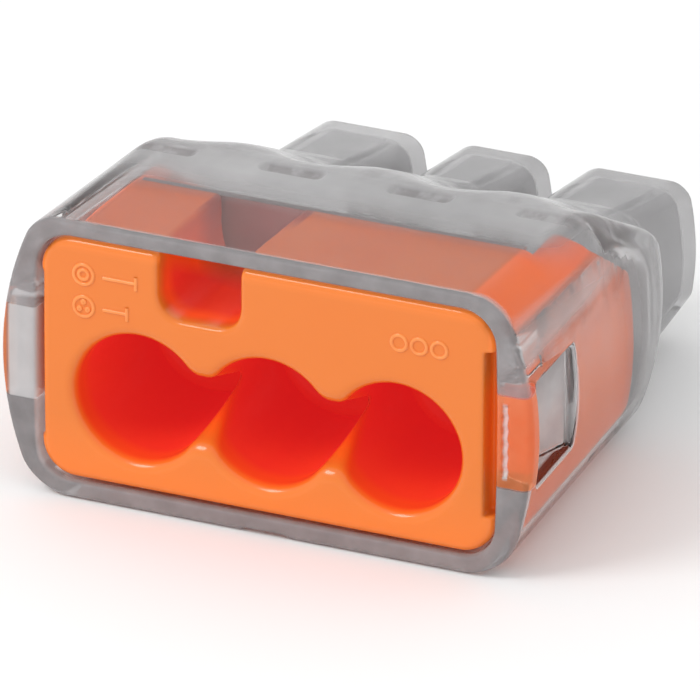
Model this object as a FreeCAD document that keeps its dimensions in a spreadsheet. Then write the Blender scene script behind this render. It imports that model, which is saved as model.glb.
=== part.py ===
"""Three-way push-in wire connector: clear housing, coloured port insert, bus bar and leaf spring.

Millimetres, +Z up.  The wire ports face -Y and the closed wire ends point to +Y.  The origin is on
the resting plane, under the middle of the connector.  "Depth" is a distance behind the front face.
"""
import FreeCAD, Part
import os
import Sketcher

SIZES = (
    ("total_depth", 18.8, "front face to the tips of the closed wire ends"),
    ("total_height", 9.35, "resting plane to the top of the front rim"),
    ("port_pitch", 4.3, "middle to middle of neighbouring wire ports"),
    ("port_height", 3.7, "resting plane to the axis of the wire ports"),
    # housing, outside
    ("side_half", 8.85, "half width of the front rim where its sides bulge most"),
    ("side_height", 4.6, "height at which the sides bulge most"),
    ("side_curve", 10.2, "radius of the bulging sides"),
    ("rim_corner", 1.15, "outside corner radius of the front rim"),
    ("side_draft", 0.042, "inward lean of the sides per unit of depth"),
    ("top_fall", 0.05, "fall of the top per unit of depth"),
    ("crest_depth", 8.25, "depth at which the top turns down"),
    ("heel_depth", 11.9, "depth at which the bottom turns up"),
    ("heel_top", 7.0, "height of the rear slope above the heel"),
    ("root_depth", 13.9, "depth at which the body ends between the wire ends"),
    ("root_top", 5.7, "height of the body at its root"),
    ("root_bottom", 0.7, "bottom of the body at its root"),
    ("root_half", 6.75, "half width of the body at its root"),
    ("root_corner", 1.2, "corner radius of the body at its root"),
    ("root_curve", 8.0, "radius of the body's sides at its root"),
    ("sole_trim", 0.06, "what is cut off below the resting plane to make the underside flat"),
    ("rim_round", 0.2, "bevel of the rim's outer front edge"),
    # housing, inside
    ("wall", 0.62, "wall thickness of the housing"),
    ("mouth_half", 7.66, "half width of the mouth that takes the insert"),
    ("mouth_floor", 0.6, "height of the mouth's floor"),
    ("mouth_top", 8.84, "height of the mouth's ceiling"),
    ("mouth_corner", 1.15, "corner radius of the mouth"),
    ("flat_curve", 90.0, "radius of sides that are flat for all purposes"),
    # wire ends
    ("end_half", 1.75, "half width of a closed wire end"),
    ("end_spread", 0.28, "extra half width and outward shift of the two outer wire ends"),
    ("end_corner", 0.8, "corner radius of a closed wire end"),
    ("end_start", 11.9, "depth at which the wire ends start inside the body"),
    ("end_start_top", 6.46, "height of a wire end where it starts"),
    ("end_top", 5.3, "height of a wire end at its tip"),
    ("end_start_bottom", 0.05, "bottom of a wire end where it starts"),
    ("end_bottom", 1.2, "bottom of a wire end at its tip"),
    ("end_wall", 0.5, "wall thickness of a closed wire end"),
    ("end_opening", 12.6, "depth at which the hollow of a wire end opens into the housing"),
    # latch windows
    ("window_start", 0.95, "depth of the latch window's front edge"),
    ("window_end", 2.45, "depth of the latch window's rear edge"),
    ("ramp_end", 3.75, "depth at which the lead-in ramp behind the window ends"),
    ("ramp_inner", 7.85, "half width over the ramps where they start, beside the window"),
    ("ramp_outer", 8.25, "half width over the ramps where they end"),
    ("window_bottom", 3.15, "bottom of the latch window"),
    ("window_top", 6.25, "top of the latch window"),
    ("gate_half", 0.72, "half width of the shallow recess under the front edge"),
    ("gate_depth", 0.45, "length of that recess"),
    ("gate_rise", 0.13, "height of that recess"),
    # insert
    ("plate_set", 0.1, "how far the insert's face sits behind the rim"),
    ("plate_half", 7.6, "half width of the insert's face"),
    ("plate_bottom", 0.67, "bottom of the insert's face"),
    ("plate_top", 8.77, "top of the insert's face"),
    ("plate_corner", 1.1, "corner radius of the insert"),
    ("plate_round", 0.3, "rounding of the edge of the insert's face"),
    ("plate_back", 0.85, "depth at which the face plate ends and the chamfers start"),
    ("chamfer_half", 6.35, "half width of the insert's top between its long chamfers"),
    ("insert_end", 10.7, "depth at which the insert's side walls end"),
    ("shelf_start", 4.9, "depth at which the insert's full height ends"),
    ("shelf_end", 7.7, "depth at which the wire guides end"),
    ("shelf_top", 6.3, "height of the shelf that carries the spring"),
    ("bench_top", 2.0, "height of the bench that carries the bus bar"),
    ("cheek_top", 8.2, "height of the insert's side walls behind the shelf"),
    ("cheek_turn", 6.9, "depth at which the tops of those walls start to fall"),
    ("cheek_low", 5.7, "height of those walls at their rear end"),
    ("cheek_half", 6.5, "half width between the insert's side walls"),
    ("bore_radius", 2.1, "radius of a port where the wire's insulation sits"),
    ("bore_end", 5.9, "depth at which that bore starts to narrow"),
    ("guide_start", 6.35, "depth at which the guide for the bare wire starts"),
    ("guide_radius", 1.35, "radius of the guide for the bare wire"),
    ("mouth_lip", 0.28, "rounding of the port mouths"),
    ("scoop_half", 1.2, "half height of the cut-back between neighbouring ports"),
    ("scoop_depth", 2.95, "depth of that cut-back"),
    ("scoop_tip", 0.25, "half height of the cut-back at its deepest"),
    ("notch_left", -3.59, "left side of the test notch"),
    ("notch_right", -0.85, "right side of the test notch"),
    ("notch_floor", 6.6, "floor of the test notch"),
    ("notch_corner", 0.45, "corner radius of the test notch's floor"),
    ("relief_half", 7.2, "half width of the face between its side reliefs"),
    ("relief_bottom", 2.0, "bottom of the side reliefs"),
    ("relief_top", 7.46, "top of the side reliefs"),
    ("relief_end", 0.8, "depth at which the side reliefs run out"),
    ("barb_half", 8.35, "half width over the latch barbs"),
    ("barb_start", 1.05, "depth of the latch barb's holding face"),
    ("barb_flat", 1.45, "depth at which the barb starts to fall away"),
    ("barb_end", 2.3, "depth at which the barb has run out"),
    ("barb_gap", 0.12, "gap above and below the barb in its window"),
    # metal
    ("bar_thick", 0.5, "thickness of the bus bar"),
    ("bar_half", 6.3, "half width of the bus bar"),
    ("bar_start", 7.85, "depth of the bus bar's front edge"),
    ("bar_end", 12.2, "depth of the bus bar's rear edge"),
    ("bar_groove", 2.2, "radius of the wire grooves in the bus bar"),
    ("bar_groove_depth", 0.14, "depth of those grooves"),
    ("bar_lip", 0.9, "height of the bus bar's turned-down rear lip"),
    ("bar_round", 0.5, "corner radius of the bus bar"),
    ("strip_thick", 0.3, "thickness of the spring strip"),
    ("strip_half", 6.4, "half width of the spring strip"),
    ("strip_start", 5.05, "depth of the spring strip's upright"),
    ("strip_end", 7.7, "depth of the spring strip's rear edge"),
    ("strip_top", 8.4, "height of the spring strip's upright"),
    ("finger_gap", 0.22, "from the strip's rear edge to the line about which the fingers flex"),
    ("finger_length", 4.5, "length of a finger from that line to its tip"),
    ("finger_angle", 54.0, "slope of a finger at rest, in degrees"),
    ("finger_width", 3.4, "width of a finger"),
    ("finger_round", 0.5, "corner radius of a finger's tip"),
)

FINGER_AXIS = "strip_end + finger_gap"    # depth of the line about which the fingers flex
ROUND_STEPS = 4    # straight steps that make up the rounded edge of the insert's face

doc = FreeCAD.newDocument("connector")
sheet = doc.addObject("Spreadsheet::Sheet", "Sizes")
for row, (alias, size, meaning) in enumerate(SIZES, start=1):
    sheet.set("A%d" % row, str(size))
    sheet.setAlias("A%d" % row, alias)
    sheet.set("B%d" % row, meaning)
doc.recompute()


def formula(text):
    """Writes the sheet's name before each of its aliases in a formula."""
    words = {alias for alias, _, _ in SIZES}
    out, word = "", ""
    for letter in text + " ":
        if letter.isalnum() or letter == "_":
            word += letter
            continue
        out += ("Sizes." + word if word in words else word) + letter
        word = ""
    return out.strip()


def value(text):
    """The number that a formula of the sheet gives now."""
    return float(sheet.evalExpression(formula(text)))


def bind(owner, prop, text):
    owner.setExpression(prop, formula(text))


# ---------------------------------------------------------------- sketches

def new_body(label):
    body = doc.addObject("PartDesign::Body", label)
    body.Label = label
    return body


def origin_item(body, role):
    return next(item for item in body.Origin.OriginFeatures if item.Role == role)


def new_sketch(body, name, role, offset="0", shift="0"):
    """A sketch on one of the body's own planes, moved along its normal and along its first axis."""
    sketch = body.newObject("Sketcher::SketchObject", name)
    sketch.AttachmentSupport = [(origin_item(body, role), "")]
    sketch.MapMode = "FlatFace"
    bind(sketch, "AttachmentOffset.Base.z", offset)
    bind(sketch, "AttachmentOffset.Base.x", shift)
    return sketch


def fix(sketch, kind, geometry, point, text):
    """Holds one coordinate of a point of the sketch at a formula of the sheet."""
    index = sketch.addConstraint(Sketcher.Constraint(kind, -1, 1, geometry, point, value(text)))
    bind(sketch, "Constraints[%d]" % index, text)


def polygon(sketch, corners):
    """A closed outline of straight lines; each corner is a pair of formulas."""
    points = [FreeCAD.Vector(value(across), value(up), 0) for across, up in corners]
    for index, start in enumerate(points):
        sketch.addGeometry(Part.LineSegment(start, points[(index + 1) % len(points)]))
    for index, (across, up) in enumerate(corners):
        previous = (index - 1) % len(corners)
        sketch.addConstraint(Sketcher.Constraint("Coincident", previous, 2, index, 1))
        fix(sketch, "DistanceX", index, 1, across)
        fix(sketch, "DistanceY", index, 1, up)


def rectangle(sketch, left, right, bottom, top):
    polygon(sketch, ((left, bottom), (right, bottom), (right, top), (left, top)))


def rounded_outline(sketch, middle, half, bottom, top, corner, curve, height):
    """A rounded rectangle whose two sides bulge as arcs of radius curve about the given height."""
    centre, wide, low, high = value(middle), value(half), value(bottom), value(top)
    turn, bulge, level = value(corner), value(curve), value(height)
    vector, up = FreeCAD.Vector, FreeCAD.Vector(0, 0, 1)

    def corner_centre(side, edge):
        """Centre of the corner arc that touches the top or bottom line and one bulging side."""
        rise = edge - level
        reach = ((bulge - turn) ** 2 - rise ** 2) ** 0.5
        return vector(centre + side * (wide - bulge + reach), edge, 0)

    def bulge_arc(side):
        hub = vector(centre + side * (wide - bulge), level, 0)
        ends = []
        for edge in (low + turn, high - turn):
            away = (corner_centre(side, edge) - hub).normalize()
            ends.append(hub + away * bulge)
        if side < 0:
            ends.reverse()
        waist = hub + vector(side * bulge, 0, 0)
        return Part.Arc(ends[0], waist, ends[1])

    def corner_arc(side, edge, outward):
        hub = corner_centre(side, edge)
        flat = hub + vector(0, outward * turn, 0)
        away = (hub - vector(centre + side * (wide - bulge), level, 0)).normalize()
        steep = hub + away * turn
        through = hub + ((flat - hub) + (steep - hub)).normalize() * turn
        first, last = (steep, flat) if side * outward > 0 else (flat, steep)
        return Part.Arc(first, through, last)

    right_x, left_x = corner_centre(1, high - turn).x, corner_centre(-1, high - turn).x
    low_right, low_left = corner_centre(1, low + turn).x, corner_centre(-1, low + turn).x
    loop = (
        Part.LineSegment(vector(low_left, low, 0), vector(low_right, low, 0)),
        corner_arc(1, low + turn, -1),
        bulge_arc(1),
        corner_arc(1, high - turn, 1),
        Part.LineSegment(vector(right_x, high, 0), vector(left_x, high, 0)),
        corner_arc(-1, high - turn, 1),
        bulge_arc(-1),
        corner_arc(-1, low + turn, -1),
    )
    for piece in loop:
        sketch.addGeometry(piece)
    for index in range(len(loop)):
        sketch.addConstraint(Sketcher.Constraint("Tangent", index, 2, (index + 1) % len(loop), 1))
    for line, text in ((0, bottom), (4, top)):
        sketch.addConstraint(Sketcher.Constraint("Horizontal", line))
        fix(sketch, "DistanceY", line, 1, text)
    for arc in (1, 3, 5, 7):
        index = sketch.addConstraint(Sketcher.Constraint("Radius", arc, turn))
        bind(sketch, "Constraints[%d]" % index, corner)
    for arc, sign in ((2, "+"), (6, "-")):
        index = sketch.addConstraint(Sketcher.Constraint("Radius", arc, bulge))
        bind(sketch, "Constraints[%d]" % index, curve)
        fix(sketch, "DistanceY", arc, 3, height)
        fix(sketch, "DistanceX", arc, 3, "%s %s (%s - (%s))" % (middle, sign, half, curve))


# ---------------------------------------------------------------- features

def feature(body, kind, name, **settings):
    """Adds one PartDesign feature; a text setting that names sizes is bound to the sheet."""
    item = body.newObject("PartDesign::" + kind, name)
    for prop, setting in settings.items():
        if prop.startswith("bound_"):
            bind(item, prop[len("bound_"):], setting)
        else:
            setattr(item, prop, setting)
    body.Tip = item
    doc.recompute()
    return item


def cut(body, kind, name, **settings):
    """Adds a feature that has to take material away."""
    before = body.Shape.Volume
    item = feature(body, kind, name, **settings)
    if not body.Shape.Volume < before - 1e-4:
        raise RuntimeError("%s of %s cuts nothing" % (name, body.Label))
    return item


def back(depth):
    """Sketch offset on the XZ plane for a depth behind the front face."""
    return "total_depth / 2 - (%s)" % depth


def along(depth):
    """Y coordinate of a depth behind the front face."""
    return "(%s) - total_depth / 2" % depth


def round_edges(body, name, radius, wanted):
    """Rounds the edges of the body's current solid for which wanted(edge) is true."""
    base = body.Tip
    names = ["Edge%d" % (number + 1) for number, edge in enumerate(base.Shape.Edges) if wanted(edge)]
    if not names:
        raise RuntimeError("%s of %s finds no edge" % (name, body.Label))
    return feature(body, "Fillet", name, Base=(base, names), bound_Radius=radius)


def middle_of(edge):
    """The point halfway along an edge."""
    return edge.valueAt((edge.FirstParameter + edge.LastParameter) / 2)


def lies_at_depth(edge, depth):
    points = [vertex.Point for vertex in edge.Vertexes] + [middle_of(edge)]
    return all(abs(point.y - value(along(depth))) < 1e-3 for point in points)


# ---------------------------------------------------------------- the housing

def drafted(size, depth, rate="side_draft"):
    return "%s - %s * (%s)" % (size, rate, depth)


def wire_end_middle(place):
    return "%d * (port_pitch + end_spread)" % place


def housing_shell():
    """Clear one-piece shell: bulging body, three closed wire ends, two latch windows with ramps."""
    body = new_body("housing_shell")
    sections = []
    for name, depth, half, bottom, top, corner, curve in (
            ("lip", "0", "side_half - rim_round", "rim_round", "total_height - rim_round",
             "rim_corner - rim_round", "side_curve - rim_round"),
            ("rim", "rim_round", "side_half", "-sole_trim", "total_height", "rim_corner",
             "side_curve"),
            ("crest", "crest_depth", drafted("side_half", "crest_depth"), "-sole_trim",
             drafted("total_height", "crest_depth", "top_fall"), "rim_corner", "side_curve"),
            ("heel", "heel_depth", drafted("side_half", "heel_depth"), "-sole_trim", "heel_top",
             "rim_corner", "side_curve"),
            ("root", "root_depth", "root_half", "root_bottom", "root_top", "root_corner",
             "root_curve")):
        sketch = new_sketch(body, "shell_" + name, "XZ_Plane", back(depth))
        level = "side_height" if name != "root" else "(root_top + root_bottom) / 2"
        rounded_outline(sketch, "0", half, bottom, top, corner, curve, level)
        sections.append(sketch)
    doc.recompute()
    feature(body, "AdditiveLoft", "shell_block", Profile=sections[0], Sections=sections[1:], Ruled=True)
    sole = new_sketch(body, "sole_outline", "XY_Plane")
    rectangle(sole, "-2 * side_half", "2 * side_half", "-total_depth", "total_depth")
    cut(body, "Pocket", "flat_sole", Profile=sole, bound_Length="1")
    for place in (-1, 0, 1):
        wire_end(body, place)
    hollow_housing(body)
    for place in (-1, 0, 1):
        hollow_wire_end(body, place)
    window = new_sketch(body, "window_outline", "YZ_Plane")
    rectangle(window, along("window_start"), along("window_end"), "window_bottom", "window_top")
    cut(body, "Pocket", "latch_windows", Profile=window, SideType="Symmetric",
        bound_Length="2 * side_half + 2")
    for side in (-1, 1):
        name = "ramp_right" if side > 0 else "ramp_left"
        ramp = new_sketch(body, name + "_outline", "XY_Plane", "window_bottom")
        outer = "%d * (side_half + 0.5)" % side
        polygon(ramp, (("%d * ramp_inner" % side, along("window_end - 0.1")),
                       ("%d * ramp_inner" % side, along("window_end")),
                       ("%d * ramp_outer" % side, along("ramp_end")),
                       (outer, along("ramp_end")), (outer, along("window_end - 0.1"))))
        cut(body, "Pocket", name, Profile=ramp, Reversed=True,
            bound_Length="window_top - window_bottom")
    gate = new_sketch(body, "gate_outline", "XY_Plane")
    rectangle(gate, "-gate_half", "gate_half", along("-1"), along("gate_depth"))
    cut(body, "Pocket", "gate_recess", Profile=gate, Reversed=True, bound_Length="gate_rise")
    return body


def end_section(body, name, place, depth, bottom, top, inset="0"):
    sketch = new_sketch(body, name, "XZ_Plane", back(depth))
    half = "end_half + %d * end_spread - (%s)" % (abs(place), inset)
    rounded_outline(sketch, wire_end_middle(place), half, "%s + %s" % (bottom, inset),
                    "%s - (%s)" % (top, inset), "end_corner - (%s) / 2" % inset, "flat_curve",
                    "port_height")
    return sketch


def wire_end(body, place):
    tag = "_%d" % (place + 2)
    start = end_section(body, "end_start" + tag, place, "end_start", "end_start_bottom", "end_start_top")
    tip = end_section(body, "end_tip" + tag, place, "total_depth", "end_bottom", "end_top")
    doc.recompute()
    feature(body, "AdditiveLoft", "wire_end" + tag, Profile=start, Sections=[tip], Ruled=True)


def hollow_wire_end(body, place):
    tag = "_%d" % (place + 2)
    share = "(end_opening - end_start) / (total_depth - end_start)"
    bottom = "end_start_bottom + (end_bottom - end_start_bottom) * %s" % share
    top = "end_start_top + (end_top - end_start_top) * %s" % share
    start = end_section(body, "hollow_start" + tag, place, "end_opening", bottom, top, "end_wall")
    tip = end_section(body, "hollow_tip" + tag, place, "total_depth - end_wall", "end_bottom",
                      "end_top", "end_wall")
    doc.recompute()
    cut(body, "SubtractiveLoft", "hollow_end" + tag, Profile=start, Sections=[tip], Ruled=True)


def hollow_housing(body):
    """Takes out the space that holds the insert and the metal, one wall inside the outer shape."""
    sections = []
    for name, depth, half, floor, top in (
            ("mouth", "0", "mouth_half", "mouth_floor", "mouth_top"),
            ("crest", "crest_depth - wall / 2", drafted("mouth_half", "crest_depth"), "mouth_floor",
             drafted("mouth_top", "crest_depth", "top_fall")),
            ("heel", "heel_depth - wall / 2", drafted("mouth_half", "heel_depth"), "mouth_floor",
             "heel_top - 1.1 * wall"),
            ("root", "root_depth - wall", "root_half - wall", "root_bottom + wall",
             "root_top - wall / 2")):
        sketch = new_sketch(body, "cavity_" + name, "XZ_Plane", back(depth))
        rounded_outline(sketch, "0", half, floor, top, "mouth_corner", "flat_curve", "side_height")
        sections.append(sketch)
    doc.recompute()
    cut(body, "SubtractiveLoft", "cavity", Profile=sections[0], Sections=sections[1:], Ruled=True)


# ---------------------------------------------------------------- the insert

def port_insert():
    """Coloured insert: face with three merged ports and a test notch, latch barbs, spring shelf."""
    body = new_body("port_insert")
    sections = []
    for step in range(ROUND_STEPS + 1):
        turn = "cos(%g * 1deg)" % (90 * step / ROUND_STEPS)
        inset = "plate_round * (1 - sin(%g * 1deg))" % (90 * step / ROUND_STEPS)
        sections.append(insert_section(body, "insert_edge_%d" % step,
                                       "plate_set + plate_round * (1 - %s)" % turn, inset))
    sections.append(insert_section(body, "insert_tail", "insert_end", "0"))
    doc.recompute()
    feature(body, "AdditiveLoft", "insert_block", Profile=sections[0], Sections=sections[1:], Ruled=True)
    long_chamfers(body)
    latch_barbs(body)
    side_reliefs(body)
    open_rear(body)
    notch = new_sketch(body, "notch_outline", "XZ_Plane", back("0"))
    rectangle(notch, "notch_left", "notch_right", "notch_floor", "total_height")
    cut(body, "Pocket", "test_notch", Profile=notch, bound_Length="shelf_start + 1")
    round_edges(body, "notch_corners", "notch_corner", lambda edge: edge.Length > 4
                and abs(middle_of(edge).z - value("notch_floor")) < 1e-3
                and value("notch_left") - 1e-3 < middle_of(edge).x < value("notch_right") + 1e-3
                and abs(edge.Vertexes[0].X - edge.Vertexes[-1].X) < 1e-3)
    ports(body)
    return body


def insert_section(body, name, depth, inset):
    """Outline of the insert at one depth, drafted towards the rear and drawn in by inset."""
    sketch = new_sketch(body, name, "XZ_Plane", back(depth))
    rounded_outline(sketch, "0", "%s - %s" % (drafted("plate_half", depth), inset),
                    "plate_bottom + " + inset,
                    "%s - %s" % (drafted("plate_top", depth, "top_fall"), inset),
                    "plate_corner - " + inset, "flat_curve", "side_height")
    return sketch


def latch_barbs(body):
    """One wedge on each side, which snaps into a window of the housing."""
    for side in (-1, 1):
        name = "barb_right" if side > 0 else "barb_left"
        sketch = new_sketch(body, name + "_outline", "XY_Plane", "window_bottom + barb_gap")
        inner, outer = "%d * (plate_half - 0.8)" % side, "%d * barb_half" % side
        corners = ((inner, along("barb_start")), (outer, along("barb_start")),
                   (outer, along("barb_flat")), ("%d * (plate_half - 0.2)" % side, along("barb_end")),
                   (inner, along("barb_end")))
        polygon(sketch, corners)
        feature(body, "Pad", name, Profile=sketch,
                bound_Length="window_top - window_bottom - 2 * barb_gap")


def long_chamfers(body):
    """Chamfers along both upper edges of the insert, behind its face plate."""
    for side in (-1, 1):
        name = "chamfer_right" if side > 0 else "chamfer_left"
        sketch = new_sketch(body, name + "_outline", "XZ_Plane", back("plate_back"))
        outer = "%d * (plate_half + 0.5)" % side
        polygon(sketch, (("%d * (chamfer_half - 0.5)" % side, "plate_top + 0.5"),
                         (outer, "plate_top + 0.5"),
                         (outer, "plate_top + chamfer_half - plate_half - 0.5")))
        cut(body, "Pocket", name, Profile=sketch, bound_Length="insert_end")


def side_reliefs(body):
    """Slanted flats on both sides of the face, so that its edge can be reached with a blade."""
    for side in (-1, 1):
        name = "relief_right" if side > 0 else "relief_left"
        sketch = new_sketch(body, name + "_outline", "XY_Plane", "relief_bottom")
        outer = "%d * (plate_half + 0.3)" % side
        polygon(sketch, (("%d * relief_half" % side, along("-0.2")), (outer, along("-0.2")),
                         (outer, along("relief_end")), ("%d * plate_half" % side, along("relief_end")),
                         ("%d * relief_half" % side, along("plate_set"))))
        cut(body, "Pocket", name, Profile=sketch, Reversed=True,
            bound_Length="relief_top - relief_bottom")


def open_rear(body):
    """Steps the insert down behind its full-height part: spring shelf, bar bench and side walls."""
    well = new_sketch(body, "well_outline", "YZ_Plane")
    polygon(well, ((along("shelf_start"), "total_height"), (along("shelf_start"), "shelf_top"),
                   (along("shelf_end"), "shelf_top"), (along("shelf_end"), "bench_top"),
                   (along("insert_end + 1"), "bench_top"), (along("insert_end + 1"), "total_height")))
    cut(body, "Pocket", "well", Profile=well, SideType="Symmetric", bound_Length="2 * cheek_half")
    crown = new_sketch(body, "crown_outline", "YZ_Plane")
    polygon(crown, ((along("shelf_start"), "cheek_top"), (along("cheek_turn"), "cheek_top"),
                    (along("insert_end"), "cheek_low"), (along("insert_end + 1"), "cheek_low"),
                    (along("insert_end + 1"), "total_height"), (along("shelf_start"), "total_height")))
    cut(body, "Pocket", "cheek_tops", Profile=crown, SideType="Symmetric", bound_Length="2 * side_half")


def ports(body):
    """Three bores that narrow to the bare wire's guide, merged by a cut-back between them."""
    bore = new_sketch(body, "bore_profile", "XY_Plane", "port_height", "-port_pitch")
    polygon(bore, (("0", along("-1")), ("bore_radius", along("-1")), ("bore_radius", along("bore_end")),
                   ("guide_radius", along("guide_start")), ("guide_radius", along("shelf_end + 0.5")),
                   ("0", along("shelf_end + 0.5"))))
    first = cut(body, "Groove", "port_bore", Profile=bore, ReferenceAxis=(bore, ["V_Axis"]), Angle=360)
    feature(body, "LinearPattern", "port_bores", Originals=[first],
            Direction=(origin_item(body, "X_Axis"), [""]), bound_Length="2 * port_pitch", Occurrences=3)
    scoop = new_sketch(body, "scoop_outline", "YZ_Plane")
    polygon(scoop, ((along("-1"), "port_height - scoop_half"),
                    (along("plate_set"), "port_height - scoop_half"),
                    (along("scoop_depth"), "port_height - scoop_tip"),
                    (along("scoop_depth"), "port_height + scoop_tip"),
                    (along("plate_set"), "port_height + scoop_half"),
                    (along("-1"), "port_height + scoop_half")))
    cut(body, "Pocket", "port_scoops", Profile=scoop, SideType="Symmetric", bound_Length="2 * port_pitch")
    reach = value("port_pitch + bore_radius") + 0.05
    round_edges(body, "port_lips", "mouth_lip", lambda edge: lies_at_depth(edge, "plate_set")
                and abs(middle_of(edge).x) < reach
                and abs(middle_of(edge).z - value("port_height")) < value("bore_radius") + 0.05)


# ---------------------------------------------------------------- the metal

def bus_bar():
    """Tinned copper bar that joins the three wires: grooved plate with a turned-down rear lip."""
    body = new_body("bus_bar")
    plate = new_sketch(body, "bar_outline", "XY_Plane", "bench_top")
    rectangle(plate, "-bar_half", "bar_half", along("bar_start"), along("bar_end"))
    feature(body, "Pad", "bar_plate", Profile=plate, bound_Length="bar_thick")
    lip = new_sketch(body, "bar_lip_outline", "XY_Plane", "bench_top + bar_thick")
    rectangle(lip, "-bar_half", "bar_half", along("bar_end - bar_thick"), along("bar_end"))
    feature(body, "Pad", "bar_lip", Profile=lip, Reversed=True, bound_Length="bar_lip")
    round_edges(body, "bar_corners", "bar_round", lambda edge: edge.Length < 1
                and lies_at_depth(edge, "bar_start"))
    groove = new_sketch(body, "bar_groove_outline", "XZ_Plane", back("bar_start - 1"), "-port_pitch")
    groove.addGeometry(Part.Circle(FreeCAD.Vector(0, value("bench_top + bar_thick + bar_groove"), 0),
                                   FreeCAD.Vector(0, 0, 1), value("bar_groove")))
    fix(groove, "DistanceX", 0, 3, "0")
    fix(groove, "DistanceY", 0, 3, "bench_top + bar_thick + bar_groove - bar_groove_depth")
    index = groove.addConstraint(Sketcher.Constraint("Radius", 0, value("bar_groove")))
    bind(groove, "Constraints[%d]" % index, "bar_groove")
    first = cut(body, "Pocket", "bar_groove", Profile=groove, bound_Length="bar_end - bar_start + 2")
    feature(body, "LinearPattern", "bar_grooves", Originals=[first],
            Direction=(origin_item(body, "X_Axis"), [""]), bound_Length="2 * port_pitch", Occurrences=3)
    return body


def spring_strip():
    """Fixed part of the spring stamping: a plate on the insert's shelf with an upright at its front."""
    body = new_body("spring_strip")
    profile = new_sketch(body, "strip_profile", "YZ_Plane")
    polygon(profile, ((along("strip_start"), "shelf_top"), (along("strip_end"), "shelf_top"),
                      (along("strip_end"), "shelf_top + strip_thick"),
                      (along("strip_start + strip_thick"), "shelf_top + strip_thick"),
                      (along("strip_start + strip_thick"), "strip_top"),
                      (along("strip_start"), "strip_top")))
    feature(body, "Pad", "strip_plate", Profile=profile, SideType="Symmetric", bound_Length="2 * strip_half")
    return body


def spring_finger(label, place):
    """One finger of the spring: a blade that slopes down and back to the bus bar."""
    body = new_body(label)
    sketch = new_sketch(body, "profile", "YZ_Plane", "%d * port_pitch" % place)
    vector = FreeCAD.Vector
    hub = vector(value(along(FINGER_AXIS)), value("shelf_top + strip_thick / 2"), 0)
    half, length = value("strip_thick / 2"), value("finger_length")
    run = vector(value("cos(finger_angle * 1deg)"), -value("sin(finger_angle * 1deg)"), 0)
    side = vector(-run.y, run.x, 0)
    tip = hub + run * length
    sketch.addGeometry(Part.LineSegment(hub - side * half, tip - side * half))
    sketch.addGeometry(Part.LineSegment(tip - side * half, tip + side * half))
    sketch.addGeometry(Part.LineSegment(tip + side * half, hub + side * half))
    sketch.addGeometry(Part.Arc(hub + side * half, hub - run * half, hub - side * half))
    for kind, first, second in (("Coincident", 0, 1), ("Coincident", 1, 2), ("Tangent", 2, 3),
                                ("Tangent", 3, 0)):
        sketch.addConstraint(Sketcher.Constraint(kind, first, 2, second, 1))
    sketch.addConstraint(Sketcher.Constraint("Perpendicular", 0, 1))
    fix(sketch, "DistanceX", 3, 3, along(FINGER_AXIS))
    fix(sketch, "DistanceY", 3, 3, "shelf_top + strip_thick / 2")
    for kind, geometry, text in (("Distance", 1, "strip_thick"), ("Distance", 0, "finger_length")):
        index = sketch.addConstraint(Sketcher.Constraint(kind, geometry, value(text)))
        bind(sketch, "Constraints[%d]" % index, text)
    fix(sketch, "DistanceX", 1, 1, "%s + finger_length * cos(finger_angle * 1deg)"
        " - strip_thick / 2 * sin(finger_angle * 1deg)" % along(FINGER_AXIS))
    feature(body, "Pad", "blade", Profile=sketch, SideType="Symmetric", bound_Length="finger_width")
    low = tip.y + 0.3
    round_edges(body, "tip_corners", "finger_round", lambda edge: middle_of(edge).z < low
                and edge.Length < 2 * half + 1e-3
                and abs(edge.Vertexes[0].X - edge.Vertexes[-1].X) < 1e-3)
    return body


# ---------------------------------------------------------------- build, check, write

bodies = [housing_shell(), port_insert(), bus_bar(), spring_strip()]
for finger_label, finger_place in (("spring_finger_left", -1), ("spring_finger_middle", 0),
                                   ("spring_finger_right", 1)):
    bodies.append(spring_finger(finger_label, finger_place))

doc.recompute()
for item in doc.Objects:
    if {"Invalid", "Error"} & set(item.State):
        raise RuntimeError("%s did not build: %s" % (item.Label, item.State))
os.makedirs("parts", exist_ok=True)
for body in bodies:
    shape = body.Shape
    if shape.isNull() or not shape.isValid() or len(shape.Solids) != 1:
        raise RuntimeError("%s is not one valid solid" % body.Label)
    print("%-22s %8.2f mm3  %s" % (body.Label, shape.Volume, shape.BoundBox))
for body in bodies:
    body.Shape.exportStep("parts/%s.step" % body.Label)
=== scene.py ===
"""Looks of the three-way push-in wire connector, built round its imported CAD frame.

The insert and the clear housing are moulded parts with soft edges, so each is described as a distance
field and meshed here.  Shapes are in millimetres: x to the right, depth behind the front face, and
height z above the resting plane.
"""

import math
from types import SimpleNamespace

import bpy
import numpy as np
from mathutils import Matrix, Vector


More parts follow.
